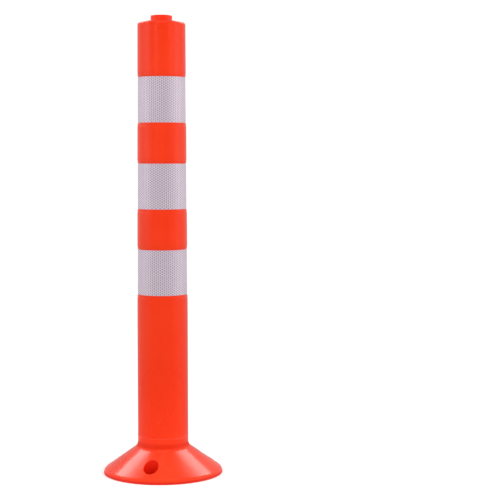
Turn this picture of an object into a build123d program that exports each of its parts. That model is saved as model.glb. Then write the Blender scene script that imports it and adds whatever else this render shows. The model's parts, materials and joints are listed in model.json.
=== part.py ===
from build123d import *
import math
import os

# A flexible road delineator post: a ribbed conical base, a neck that bends and springs back, a hollow
# tapered column with three sheeting bands in recesses, and a plug that closes the crown.
# The origin is on the post's axis at the underside, +Z is up, and sizes are millimetres and degrees.

# Overall
total_height = 750.0
base_diameter = 196.0
column_foot_diameter = 82.8
column_top_diameter = 78.0
taper_start_height = 270.0

# Base
edge_land_height = 1.5
rim_radius = 8.0
cone_angle = 35.6
neck_fillet_radius = 13.0
shell_thickness = 5.0
skirt_wall = 7.0
hub_wall = 6.0
rib_thickness = 4.0
ribs_between_anchors = 3
bead_height = 4.0
bead_proud = 0.3
bead_to_neck = 2.0

# Anchor holes
anchor_count = 3
anchor_circle_diameter = 146.0
anchor_first_angle = -105.4
anchor_hole_diameter = 14.0
pocket_diameter = 24.0
pocket_floor_height = 7.0
pocket_edge_radius = 0.8
boss_wall = 4.0

# Neck
neck_start_height = 67.0
neck_wall = 5.0
neck_segment_count = 4

# Column and crown
column_wall = 4.0
crown_edge_radius = 4.0
crown_slope = 11.6
crown_thickness = 5.0
crown_seat_margin = 0.5

# Top plug
plug_head_diameter = 35.0
plug_head_height = 7.8
plug_head_edge_radius = 1.3
plug_stem_diameter = 18.0
plug_stem_clearance = 0.1
plug_barb_proud = 1.6
plug_barb_height = 2.0
plug_tip_length = 5.0
plug_tip_taper = 2.5
plug_barb_margin = 1.0

# Sheeting bands
band_names = ["bottom", "middle", "top"]
band_height = 73.8
band_pitch = 140.0
land_above_bands = 84.4
land_below_bands = 23.7
band_thickness = 0.4
band_recess_depth = 1.2
band_end_clearance = 1.0
band_seam_gap = 1.0
shoulder_radius = 1.0

# A shallow margin frames each band's recess
margin_land = 3.2
margin_depth = 0.35
margin_step_radius = 0.5

# Worked out from the sizes above
base_radius = base_diameter / 2
foot_radius = column_foot_diameter / 2
crown_radius = column_top_diameter / 2
slope_sine = math.sin(math.radians(cone_angle))
slope_cosine = math.cos(math.radians(cone_angle))
slope_tangent = math.tan(math.radians(cone_angle))
seat_height = total_height - plug_head_height
seat_radius = plug_head_diameter / 2 + crown_seat_margin
crown_sine = math.sin(math.radians(crown_slope))
crown_cosine = math.cos(math.radians(crown_slope))
crown_tangent = math.tan(math.radians(crown_slope))
crown_shoulder_radius = crown_radius - crown_edge_radius * (1 - crown_sine)
crown_shoulder_height = seat_height - (crown_shoulder_radius - seat_radius) * crown_tangent
side_top_height = crown_shoulder_height - crown_edge_radius * crown_cosine
stem_hole_radius = plug_stem_diameter / 2 + plug_stem_clearance
barb_radius = stem_hole_radius + plug_barb_proud
shoulder_height = math.sqrt(shoulder_radius**2 - (shoulder_radius - band_recess_depth + margin_depth)**2)
margin_step_height = math.sqrt(margin_step_radius**2 - (margin_step_radius - margin_depth)**2)
recess_end_height = margin_step_height + margin_land + shoulder_height
bands_start_height = side_top_height - land_above_bands - band_height - (len(band_names) - 1) * band_pitch
column_start_height = bands_start_height - band_end_clearance - recess_end_height - land_below_bands
neck_segment_length = (column_start_height - neck_start_height) / neck_segment_count


def side_radius(height):
    """Outer radius of the column: parallel up to the taper's start, then a straight taper."""
    share = (height - taper_start_height) / (side_top_height - taper_start_height)
    return foot_radius + (crown_radius - foot_radius) * max(0.0, share)


def side_points(low, high, inset):
    """Points up the column's side, set in by an amount, with the taper's start if it lies between."""
    heights = [low, high]
    if low < taper_start_height < high:
        heights.insert(1, taper_start_height)
    return [(side_radius(height) - inset, height) for height in heights]


def on_circle(centre, radius, angle):
    turn = math.radians(angle)
    return (centre[0] + radius * math.cos(turn), centre[1] + radius * math.sin(turn))


def arc(centre, radius, start_angle, end_angle):
    middle_angle = (start_angle + end_angle) / 2
    angles = (start_angle, middle_angle, end_angle)
    return ThreePointArc(*(on_circle(centre, radius, angle) for angle in angles))


def revolved(edges, turn=360.0):
    """Solid of revolution about the post's axis from edges drawn as radius and height."""
    return revolve(Plane.XZ * make_face(edges), Axis.Z, revolution_arc=turn)


def turned(points, turn=360.0):
    return revolved(Polyline(*points, close=True).edges(), turn)


def cone_height(radius):
    """Height of the base's conical face at a radius."""
    rim_centre_radius = base_radius - rim_radius
    tangent_radius = rim_centre_radius + rim_radius * slope_sine
    tangent_height = edge_land_height + rim_radius * slope_cosine
    return tangent_height + (tangent_radius - radius) * slope_tangent


def anchor_places():
    radius = anchor_circle_diameter / 2
    step = 360.0 / anchor_count
    return [on_circle((0, 0), radius, anchor_first_angle + step * i) for i in range(anchor_count)]


def upright(x, y, radius, low, high):
    return Pos(x, y, (low + high) / 2) * Cylinder(radius, high - low)


def base_outside():
    """The base as a thick ring, before its underside is hollowed: rim, cone, neck fillet and bead."""
    bore_radius = foot_radius - neck_wall
    rim_centre = (base_radius - rim_radius, edge_land_height)
    fillet_axis_radius = foot_radius + neck_fillet_radius
    fillet_height = cone_height(fillet_axis_radius) + neck_fillet_radius / slope_cosine
    fillet_centre = (fillet_axis_radius, fillet_height)
    bead_top = neck_start_height - bead_to_neck
    bead_bottom = bead_top - bead_height
    bead_middle = (foot_radius + bead_proud, (bead_top + bead_bottom) / 2)
    rim = arc(rim_centre, rim_radius, 0, 90 - cone_angle)
    neck = arc(fillet_centre, neck_fillet_radius, 270 - cone_angle, 180)
    edges = [
        Line((bore_radius, 0), (base_radius, 0)),
        Line((base_radius, 0), rim @ 0),
        rim,
        Line(rim @ 1, neck @ 0),
        neck,
        Line(neck @ 1, (foot_radius, bead_bottom)),
        ThreePointArc((foot_radius, bead_bottom), bead_middle, (foot_radius, bead_top)),
        Line((foot_radius, bead_top), (foot_radius, neck_start_height)),
        Line((foot_radius, neck_start_height), (bore_radius, neck_start_height)),
        Line((bore_radius, neck_start_height), (bore_radius, 0)),
    ]
    return revolved(edges)


def underside_hollow():
    """The space under the cone, between the hub and the skirt, less its ribs and anchor bosses."""
    hub_radius = foot_radius - neck_wall + hub_wall
    skirt_radius = base_radius - skirt_wall
    drop = shell_thickness / slope_cosine
    space = turned([
        (hub_radius, 0),
        (skirt_radius, 0),
        (skirt_radius, cone_height(skirt_radius) - drop),
        (hub_radius, cone_height(hub_radius) - drop),
    ])
    for x, y in anchor_places():
        space -= upright(x, y, pocket_diameter / 2 + boss_wall, 0, neck_start_height)
    rib_count = anchor_count * ribs_between_anchors
    rib_step = 360.0 / rib_count
    rib = Pos(base_radius / 2, 0, neck_start_height / 2) * Box(base_radius, rib_thickness, neck_start_height)
    for i in range(rib_count):
        space -= Rot(0, 0, anchor_first_angle + rib_step * (i + 0.5)) * rib
    return space


def is_pocket_mouth(edge):
    """True for the curved edge where an anchor pocket's wall meets the cone."""
    points = [edge @ share for share in (0.1, 0.35, 0.6, 0.85)]
    if edge.geom_type == GeomType.LINE or min(point.Z for point in points) <= pocket_floor_height:
        return False
    for x, y in anchor_places():
        radii = [math.hypot(point.X - x, point.Y - y) for point in points]
        if all(math.isclose(radius, pocket_diameter / 2, rel_tol=0.001) for radius in radii):
            return True
    return False


def base_flange():
    flange = base_outside() - underside_hollow()
    for x, y in anchor_places():
        flange -= upright(x, y, pocket_diameter / 2, pocket_floor_height, neck_start_height)
        flange -= upright(x, y, anchor_hole_diameter / 2, 0, pocket_floor_height)
    mouths = [edge for edge in flange.edges() if is_pocket_mouth(edge)]
    return fillet(mouths, pocket_edge_radius)


def neck_segment(index):
    low = neck_start_height + index * neck_segment_length
    high = low + neck_segment_length
    outside = side_points(low, high, 0)
    inside = side_points(low, high, neck_wall)
    return turned(outside + inside[::-1])


def band_span(index):
    low = bands_start_height + index * band_pitch
    return low, low + band_height


def recess_end_edges(floor_end, way):
    """One end of a recess, from the full side through the margin to the floor. Way is 1 going up and -1 going down."""
    radius, floor_height = floor_end
    shoulder_start = floor_height - way * shoulder_height
    margin_start = shoulder_start - way * margin_land
    side_end = floor_height - way * recess_end_height
    side = (side_radius(side_end), side_end)
    margin_outer = (side_radius(margin_start) - margin_depth, margin_start)
    margin_inner = (side_radius(shoulder_start) - margin_depth, shoulder_start)
    return [
        TangentArc(side, margin_outer, tangent=(0, way)),
        Line(margin_outer, margin_inner),
        TangentArc(margin_inner, (radius, floor_height), tangent=(0, way)),
    ]


def column_side_edges():
    """The column's outside from its foot to the crown, stepping in at each band's recess."""
    edges = []
    here = column_start_height
    for index in range(len(band_names)):
        band_low, band_high = band_span(index)
        low = band_low - band_end_clearance
        high = band_high + band_end_clearance
        floor = side_points(low, high, band_recess_depth)
        edges += Polyline(*side_points(here, low - recess_end_height, 0)).edges()
        edges += recess_end_edges(floor[0], 1)
        edges += Polyline(*floor).edges()
        edges += recess_end_edges(floor[-1], -1)
        here = high + recess_end_height
    edges += Polyline(*side_points(here, side_top_height, 0)).edges()
    return edges


def column_tube():
    inner = side_points(column_start_height, side_top_height, column_wall)
    side_top = (crown_radius, side_top_height)
    edge_centre = (crown_radius - crown_edge_radius, side_top_height)
    edge = arc(edge_centre, crown_edge_radius, 0, 90 - crown_slope)
    rest = Polyline(
        edge @ 1,
        (seat_radius, seat_height),
        (stem_hole_radius, seat_height),
        (stem_hole_radius, seat_height - crown_thickness),
        (barb_radius + plug_barb_margin, seat_height - crown_thickness),
        *inner[::-1],
        (side_radius(column_start_height), column_start_height),
    )
    return revolved(column_side_edges() + [edge] + list(rest.edges()))


def top_plug():
    """The crown's plug: a head on the seat, a stem through the hole, and a barb that holds it."""
    head_radius = plug_head_diameter / 2
    stem_radius = plug_stem_diameter / 2
    crown_underside = seat_height - crown_thickness
    barb_bottom = crown_underside - plug_barb_height
    edge_centre = (head_radius - plug_head_edge_radius, total_height - plug_head_edge_radius)
    edge = arc(edge_centre, plug_head_edge_radius, 0, 90)
    rest = Polyline(
        edge @ 1,
        (0, total_height),
        (0, barb_bottom - plug_tip_length),
        (barb_radius - plug_tip_taper, barb_bottom - plug_tip_length),
        (barb_radius, barb_bottom),
        (barb_radius, crown_underside),
        (stem_radius, crown_underside),
        (stem_radius, seat_height),
        (head_radius, seat_height),
        edge @ 0,
    )
    return revolved([edge] + list(rest.edges()))


def band(index):
    """One strip of sheeting, wrapped in its recess with its two ends facing each other at the back."""
    low, high = band_span(index)
    inside = side_points(low, high, band_recess_depth)
    outside = side_points(low, high, band_recess_depth - band_thickness)
    seam_turn = math.degrees(band_seam_gap / side_radius(low))
    strip = turned(outside + inside[::-1], 360.0 - seam_turn)
    return Rot(0, 0, 90 + seam_turn / 2) * strip


def main():
    os.makedirs("parts", exist_ok=True)
    export_step(base_flange(), "parts/base_flange.step")
    for index in range(neck_segment_count):
        export_step(neck_segment(index), f"parts/neck_segment_{index + 1}.step")
    export_step(column_tube(), "parts/column_tube.step")
    export_step(top_plug(), "parts/top_plug.step")
    for index, name in enumerate(band_names):
        export_step(band(index), f"parts/band_{name}.step")


main()
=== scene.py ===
import json
import math

import bmesh
import bpy
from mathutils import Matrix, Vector


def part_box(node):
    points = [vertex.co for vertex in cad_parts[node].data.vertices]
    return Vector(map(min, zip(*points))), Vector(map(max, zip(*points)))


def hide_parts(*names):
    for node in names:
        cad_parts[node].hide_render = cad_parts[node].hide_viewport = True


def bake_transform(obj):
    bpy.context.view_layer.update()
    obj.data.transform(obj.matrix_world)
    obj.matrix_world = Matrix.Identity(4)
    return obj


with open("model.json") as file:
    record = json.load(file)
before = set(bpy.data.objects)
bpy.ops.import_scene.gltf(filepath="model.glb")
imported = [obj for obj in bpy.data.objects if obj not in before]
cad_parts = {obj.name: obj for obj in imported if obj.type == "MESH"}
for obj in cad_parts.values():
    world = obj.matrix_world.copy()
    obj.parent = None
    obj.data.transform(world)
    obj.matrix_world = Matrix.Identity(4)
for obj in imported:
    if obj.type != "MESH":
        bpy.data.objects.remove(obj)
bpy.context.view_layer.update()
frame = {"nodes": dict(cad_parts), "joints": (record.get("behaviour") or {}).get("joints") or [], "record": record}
print("frame loaded:", len(frame["nodes"]), "nodes")

mm = 0.001
white = (1.0, 1.0, 1.0, 1.0)
sharpDegrees = 40  # edges at a bigger angle than this stay sharp


# shader helpers

class Wire:
    # one socket of a node tree, so that shader maths reads as arithmetic
    def __init__(self, socket):
        self.socket = socket
        self.tree = socket.id_data

    def maths(self, operation, *values):
        sockets = dict(enumerate((self, *values)))
        return addNode(self.tree, "ShaderNodeMath", {"operation": operation}, sockets)

    def __add__(self, other):
        return self.maths("ADD", other)

    def __sub__(self, other):
        return self.maths("SUBTRACT", other)

    def __rsub__(self, other):
        return -self + other

    def __mul__(self, other):
        return self.maths("MULTIPLY", other)

    def __neg__(self):
        return self * -1.0

    __radd__ = __add__
    __rmul__ = __mul__

    def absolute(self):
        return self.maths("ABSOLUTE")

    def wrapped(self, size):
        return self.maths("WRAP", size / 2, -size / 2)

    def biggest(self, other):
        return self.maths("MAXIMUM", other)

    def smallest(self, other):
        return self.maths("MINIMUM", other)

    def rising(self, low, high):
        # 0 below low and 1 above high, with a smooth step between
        sockets = {"Value": self, "From Min": low, "From Max": high}
        return addNode(self.tree, "ShaderNodeMapRange", {"interpolation_type": "SMOOTHSTEP"}, sockets)


def addNode(tree, kind, settings, sockets, output=0):
    # the one way that nodes are made: settings first, then the sockets' values or links
    node = tree.nodes.new(kind)
    for name, value in settings.items():
        setattr(node, name, value)
    for name, value in sockets.items():
        if isinstance(value, Wire):
            tree.links.new(value.socket, node.inputs[name])
        else:
            node.inputs[name].default_value = value
    return Wire(node.outputs[output])


def split(vector):
    # the three numbers of a vector
    parts = addNode(vector.tree, "ShaderNodeSeparateXYZ", {}, {"Vector": vector}).socket.node
    return [Wire(socket) for socket in parts.outputs]


class Paint:
    # a new material with its shader, and one method for every node that isn't arithmetic
    def __init__(self, name, **fixed):
        self.material = bpy.data.materials.new(name)
        self.material.use_nodes = True
        self.tree = self.material.node_tree
        self.shader = self.tree.nodes["Principled BSDF"]
        self.set(**fixed)
        self.place = self.node("ShaderNodeTexCoord", output="Object")

    def node(self, kind, settings=None, sockets=None, output=0):
        return addNode(self.tree, kind, settings or {}, sockets or {}, output)

    def set(self, **sockets):
        # words_like_this name the shader's sockets Words Like This
        for name, value in sockets.items():
            socket = self.shader.inputs[name.replace("_", " ")]
            if isinstance(value, Wire):
                self.tree.links.new(value.socket, socket)
            else:
                socket.default_value = value

    def noise(self, scale, detail=2.0, stretch=(1.0, 1.0, 1.0)):
        spread = self.node("ShaderNodeMapping", {}, {"Vector": self.place, "Scale": stretch})
        sockets = {"Vector": spread, "Scale": scale, "Detail": detail}
        return self.node("ShaderNodeTexNoise", {}, sockets)

    def mixed(self, factor, first, second):
        sockets = {0: factor, 6: first, 7: second}
        return self.node("ShaderNodeMix", {"data_type": "RGBA"}, sockets, output=2)

    def distance(self):
        # how far a point is from the post's axis
        x, y = split(self.place)[:2]
        return (x * x + y * y).maths("SQRT")

    def bump(self, height, strength, distance, under=None):
        sockets = {"Height": height, "Strength": strength, "Distance": distance}
        if under:
            sockets["Normal"] = under
        return self.node("ShaderNodeBump", {}, sockets)


def colour(red, green, blue):
    # screen colour from 0 to 255, as the shader's linear colour
    values = [part / 255 for part in (red, green, blue)]
    linear = [part / 12.92 if part < 0.04 else ((part + 0.055) / 1.055) ** 2.4 for part in values]
    return (*linear, 1.0)


# materials

moulding = {
    "tint": colour(238, 53, 17),
    "paleTint": colour(242, 59, 24),
    "deepTint": colour(229, 45, 12),
    "specular": 0.25,
    "roughness": 0.28,
    "coat": 0.30,
    "coatRoughness": 0.10,
    "coatIor": 1.45,
    # a noise is its scale, its detail and, where it's uneven, its stretch along x, y and z
    "clouds": (9.0, 3.0),
    "cloudsEdge": (0.35, 0.70),
    "cloudsRoughness": 0.06,
    "flow": (30.0, 2.0, (1.0, 1.0, 0.06)),
    "flowEdge": (0.55, 0.75),
    "flowDepth": 0.35,
    "scuffs": (240.0, 4.0, (1.0, 1.0, 0.2)),
    "scuffsEdge": (0.60, 0.82),
    "scuffsRoughness": 0.08,
    "scuffsCoat": 0.15,
    # a bump is its strength and its height
    "ripple": (160.0, 1.0),
    "rippleBump": (0.05, 0.4 * mm),
    "pores": (1400.0, 2.0),
    "poresBump": (0.06, 0.05 * mm),
}

plugMoulding = {
    **moulding,
    "tint": colour(230, 50, 20),
    "roughness": 0.34,
}

# painted shade: the pockets, the skirt under the rim and the corner above the cone get darker tints, and a duller
# finish than the rest
basePaintedShadeAndFinish = {
    "pocketEdge": (12.0 * mm, 12.5 * mm),
    "pocketPaintedShade": colour(218, 27, 5),
    "skirtEdge": (3.5 * mm, 5.5 * mm),
    "skirtPaintedShade": colour(200, 38, 18),
    "cornerFoot": (43.0 * mm, 47.5 * mm),
    "cornerTop": (49.0 * mm, 57.0 * mm),
    "cornerPaintedShade": colour(216, 40, 6),
    "roughness": 0.55,
}


def pocketMask(paint, edge):
    # 1 on the walls and floors of the anchor pockets
    x, y = split(paint.place)[:2]
    nearest = None
    for opening in frame["record"]["physics"]["openings"]:
        low, high = (Vector(corner) for corner in opening["box_m"])
        middle = (low + high) / 2
        aside = x - middle.x
        along = y - middle.y
        reach = (aside * aside + along * along).maths("SQRT")
        nearest = nearest.smallest(reach) if nearest else reach
    return 1.0 - nearest.rising(*edge)


def mouldedOrange(name, look, shadeAndFinish=None):
    paint = Paint(
        name,
        Specular_IOR_Level=look["specular"],
        Coat_Roughness=look["coatRoughness"],
        Coat_IOR=look["coatIor"],
    )
    clouds = paint.noise(*look["clouds"])
    flow = paint.noise(*look["flow"])  # long faint lines up the post, as the mould was filled
    scuffs = paint.noise(*look["scuffs"]).rising(*look["scuffsEdge"])
    tone = paint.mixed(clouds.rising(*look["cloudsEdge"]), look["tint"], look["paleTint"])
    tone = paint.mixed(flow.rising(*look["flowEdge"]) * look["flowDepth"], tone, look["deepTint"])
    uneven = (clouds - 0.5) * look["cloudsRoughness"] + scuffs * look["scuffsRoughness"]
    roughness = uneven + look["roughness"]
    coat = look["coat"] - scuffs * look["scuffsCoat"]
    if shadeAndFinish:
        z = split(paint.place)[2]
        pocket = pocketMask(paint, shadeAndFinish["pocketEdge"])
        skirt = 1.0 - z.rising(*shadeAndFinish["skirtEdge"])
        corner = z.rising(*shadeAndFinish["cornerFoot"]) * (1.0 - z.rising(*shadeAndFinish["cornerTop"]))
        # painted shade: darker tints in the pockets, on the skirt under the rim and in the corner above the cone
        tone = paint.mixed(pocket, tone, shadeAndFinish["pocketPaintedShade"])
        tone = paint.mixed(skirt, tone, shadeAndFinish["skirtPaintedShade"])
        tone = paint.mixed(corner, tone, shadeAndFinish["cornerPaintedShade"])
        dull = pocket.biggest(skirt).biggest(corner)
        roughness = roughness + dull * (shadeAndFinish["roughness"] - look["roughness"])
        coat = coat * (1.0 - dull)
    skin = paint.bump(paint.noise(*look["ripple"]), *look["rippleBump"])
    skin = paint.bump(paint.noise(*look["pores"]), *look["poresBump"], skin)
    paint.set(Base_Color=tone, Roughness=roughness, Coat_Weight=coat, Normal=skin)
    return paint.material


sheeting = {
    "cellPitch": 3.91 * mm,
    "heart": (0.75 * mm, 1.75 * mm),
    "plainEdge": (1.04 * mm, 1.30 * mm),
    "heartTint": colour(224, 209, 222),
    "sealTint": colour(225, 209, 223),
    "edgeTint": colour(208, 192, 205),
    "mirror": 0.34,
    "heartMirror": 0.56,
    "roughness": 0.42,
    "heartRoughness": 0.20,
    "specular": 0.5,
    "coat": 0.3,
    "coatRoughness": 0.08,
    "grain": (60.0, 3.0),
    "grainEdge": (0.4, 0.8),
    "grainDepth": 0.25,
    "heartBump": (0.25, 0.12 * mm),
    "waves": (45.0, 2.0),
    "wavesBump": (0.08, 0.6 * mm),
}


def prismaticSheeting(name, look, low, high, radius):
    # hexagonal cells counted round the post and up from the band's lower edge, each with a mirror-like heart
    paint = Paint(
        name,
        Specular_IOR_Level=look["specular"],
        Coat_Weight=look["coat"],
        Coat_Roughness=look["coatRoughness"],
    )
    x, y, z = split(paint.place)
    across = x.maths("ARCTAN2", -y) * radius
    up = z - low
    tall = look["cellPitch"]
    wide = tall * math.sqrt(3)
    slant = math.sqrt(0.75)

    def cell(across, up):
        # distance from the middle of the nearest cell, as its own hexagon measures it
        side = across.wrapped(wide).absolute()
        rise = up.wrapped(tall).absolute()
        return rise.biggest(side * slant + rise * 0.5)

    # the cells stand in two sets of columns, with the second set half a cell higher
    nearest = cell(across, up).smallest(cell(across + wide / 2, up + tall / 2))
    inside = up.smallest(high - z).rising(*look["plainEdge"])
    heart = (1.0 - nearest.rising(*look["heart"])) * inside
    grain = paint.noise(*look["grain"]).rising(*look["grainEdge"]) * look["grainDepth"]
    face = paint.mixed(inside, look["edgeTint"], look["sealTint"])
    face = paint.mixed(grain, face, look["edgeTint"])
    face = paint.mixed(heart, face, look["heartTint"])
    film = paint.bump(heart, *look["heartBump"])
    film = paint.bump(paint.noise(*look["waves"]), *look["wavesBump"], film)
    paint.set(
        Base_Color=face,
        Metallic=heart * (look["heartMirror"] - look["mirror"]) + look["mirror"],
        Roughness=heart * (look["heartRoughness"] - look["roughness"]) + look["roughness"],
        Normal=film,
    )
    return paint.material


# neck skins: each takes the place of one neck segment

neck = {
    "around": 192,
    "rows": 24,
}


def neckWall(node):
    # the wall is the gap between the segment's innermost and outermost points
    points = [math.hypot(vertex.co.x, vertex.co.y) for vertex in frame["nodes"][node].data.vertices]
    return max(points) - min(points)


def neckSkin(node, look):
    low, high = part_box(node)
    outer = (high.x - low.x) / 2
    inner = outer - neckWall(node)
    mesh = bmesh.new()
    loops = []
    for radius in (inner, outer):
        shaft = bmesh.ops.create_circle(mesh, cap_ends=False, segments=look["around"], radius=radius)
        rim = list({edge for vertex in shaft["verts"] for edge in vertex.link_edges})
        bmesh.ops.translate(mesh, verts=shaft["verts"], vec=(0, 0, low.z))
        edges = rim
        for row in range(look["rows"]):
            grown = bmesh.ops.extrude_edge_only(mesh, edges=edges)["geom"]
            verts = [part for part in grown if isinstance(part, bmesh.types.BMVert)]
            edges = [part for part in grown if isinstance(part, bmesh.types.BMEdge)]
            bmesh.ops.translate(mesh, verts=verts, vec=(0, 0, (high.z - low.z) / look["rows"]))
        loops.append((rim, edges))
    for inside, outside in zip(*loops):
        bmesh.ops.bridge_loops(mesh, edges=inside + outside)
    bmesh.ops.recalc_face_normals(mesh, faces=mesh.faces)
    return finished(mesh, node.replace("segment", "skin"))


def finished(mesh, name):
    for face in mesh.faces:
        face.smooth = True
    data = bpy.data.meshes.new(name)
    mesh.to_mesh(data)
    mesh.free()
    piece = bpy.data.objects.new(name, data)
    bpy.context.scene.collection.objects.link(piece)
    bpy.context.view_layer.objects.active = piece
    data.set_sharp_from_angle(angle=math.radians(sharpDegrees))
    return piece


def buildNeck(look, material):
    # one skin for each joint, in place of the segment that the joint deforms
    for joint in frame["joints"]:
        node = joint["deforming_nodes"][0]["node"]
        skin = neckSkin(node, look)
        skin.data.materials.append(material)
        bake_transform(skin)
        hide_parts(node)


def give(node, material):
    piece = frame["nodes"][node]
    piece.data.materials.clear()
    piece.data.materials.append(material)


orange = mouldedOrange("OrangeMoulding", moulding)
give("base_flange", mouldedOrange("OrangeBase", moulding, basePaintedShadeAndFinish))
give("column_tube", orange)
give("top_plug", mouldedOrange("PlugOrange", plugMoulding))
for band in ("band_bottom", "band_middle", "band_top"):
    low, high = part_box(band)
    give(band, prismaticSheeting("Sheeting_" + band, sheeting, low.z, high.z, (high.x - low.x) / 2))
print("materials made")
buildNeck(neck, orange)
print("neck skins made")


# studio

floorSheet = {
    "reach": 1.4,
    "sides": 96,
    "drop": 0.2 * mm,
    "fade": (0.12, 0.30),
    "tint": (0.92, 0.92, 0.92, 1.0),
    "paleTint": (0.95, 0.95, 0.95, 1.0),
    "speck": 3.0,
    "roughness": 0.9,
    "specular": 0.1,
    "glow": 0.14,
}


def buildFloor(look):
    # a pale sheet under the post, which fades out into the surround
    mesh = bmesh.new()
    bmesh.ops.create_circle(mesh, cap_ends=True, segments=look["sides"], radius=look["reach"])
    bmesh.ops.translate(mesh, verts=mesh.verts, vec=(0, 0, -look["drop"]))
    floor = finished(mesh, "Floor")
    paint = Paint(
        "PaleFloor",
        Roughness=look["roughness"],
        Specular_IOR_Level=look["specular"],
        Emission_Strength=look["glow"],
        Emission_Color=white,
    )
    paint.set(
        Base_Color=paint.mixed(paint.noise(look["speck"]), look["tint"], look["paleTint"]),
        Alpha=1.0 - paint.distance().rising(*look["fade"]),
    )
    floor.data.materials.append(paint.material)


surround = {
    "strength": 0.52,
    # towards each side: the strength there, and where the change begins and ends
    "front": (0.14, 0.15, 0.70),
    "below": (0.25, 0.02, 0.30),
    "above": (0.22, 0.35, 0.80),
    "seen": 1.05,
}


def buildSurround(look):
    # white to look at, but it gives less light from the front, below and above, so the colour stays deep
    world = bpy.data.worlds.new("Surround")
    world.use_nodes = True
    bpy.context.scene.world = world
    tree = world.node_tree
    background = tree.nodes["Background"]
    background.inputs["Color"].default_value = white
    y, z = split(addNode(tree, "ShaderNodeTexCoord", {}, {}, "Generated"))[1:]
    light = look["strength"]
    for way, side in ((-y, "front"), (-z, "below"), (z, "above")):
        strength, begins, ends = look[side]
        part = way.rising(begins, ends)
        light = light * (1.0 - part) + part * strength
    seen = addNode(tree, "ShaderNodeLightPath", {}, {}, "Is Camera Ray")
    light = light * (1.0 - seen) + seen * look["seen"]
    tree.links.new(light.socket, background.inputs["Strength"])


lampTarget = Vector((0, 0, 0.3))

lamps = {
    # name: direction from the post, distance, width, height, strength, and whether it's seen in highlights
    "backLeft": ((-0.50, 0.49, 0.72), 2.6, 0.45, 1.4, 15.8, True),
    "backRight": ((0.50, 0.49, 0.72), 2.6, 0.45, 1.4, 13.7, True),
    "above": ((0.0, -0.18, 1.0), 2.6, 1.6, 0.25, 3.6, True),
    "frontLeft": ((-0.36, -0.78, 0.30), 3.0, 1.1, 1.1, 37.0, False),
    "frontRight": ((0.62, -0.70, 0.30), 3.0, 1.1, 1.1, 37.0, False),
    "sideLeft": ((-0.90, -0.25, 0.35), 3.0, 1.8, 1.8, 36.0, False),
    "sideRight": ((0.92, -0.20, 0.35), 3.0, 1.8, 1.8, 35.0, False),
}


def buildLamps(lamps, target):
    for name, (direction, distance, width, height, strength, shines) in lamps.items():
        light = bpy.data.lights.new(name, "AREA")
        light.shape = "RECTANGLE"
        light.size = width
        light.size_y = height
        light.energy = strength
        lamp = bpy.data.objects.new(name, light)
        aim = Vector(direction).normalized()
        lamp.location = aim * distance + target
        lamp.rotation_mode = "QUATERNION"
        lamp.rotation_quaternion = aim.to_track_quat("Z", "Y")
        lamp.visible_glossy = shines
        bpy.context.scene.collection.objects.link(lamp)


camera = {
    "distance": 2.29,
    "height": 0.527,
    "pitch": 3.970,
    "yaw": 3.605,
    "lens": 100.4,
    "sensor": 36.0,
}


def buildCamera(view):
    data = bpy.data.cameras.new("Camera")
    data.lens = view["lens"]
    data.sensor_width = view["sensor"]
    eye = bpy.data.objects.new("Camera", data)
    eye.location = (0, -view["distance"], view["height"])
    eye.rotation_euler = (math.radians(90 - view["pitch"]), 0, math.radians(-view["yaw"]))
    bpy.context.scene.collection.objects.link(eye)
    bpy.context.scene.camera = eye


buildFloor(floorSheet)
buildSurround(surround)
buildLamps(lamps, lampTarget)
buildCamera(camera)
bpy.context.scene.view_settings.view_transform = "Standard"
print("floor, surround, lamps and camera made")
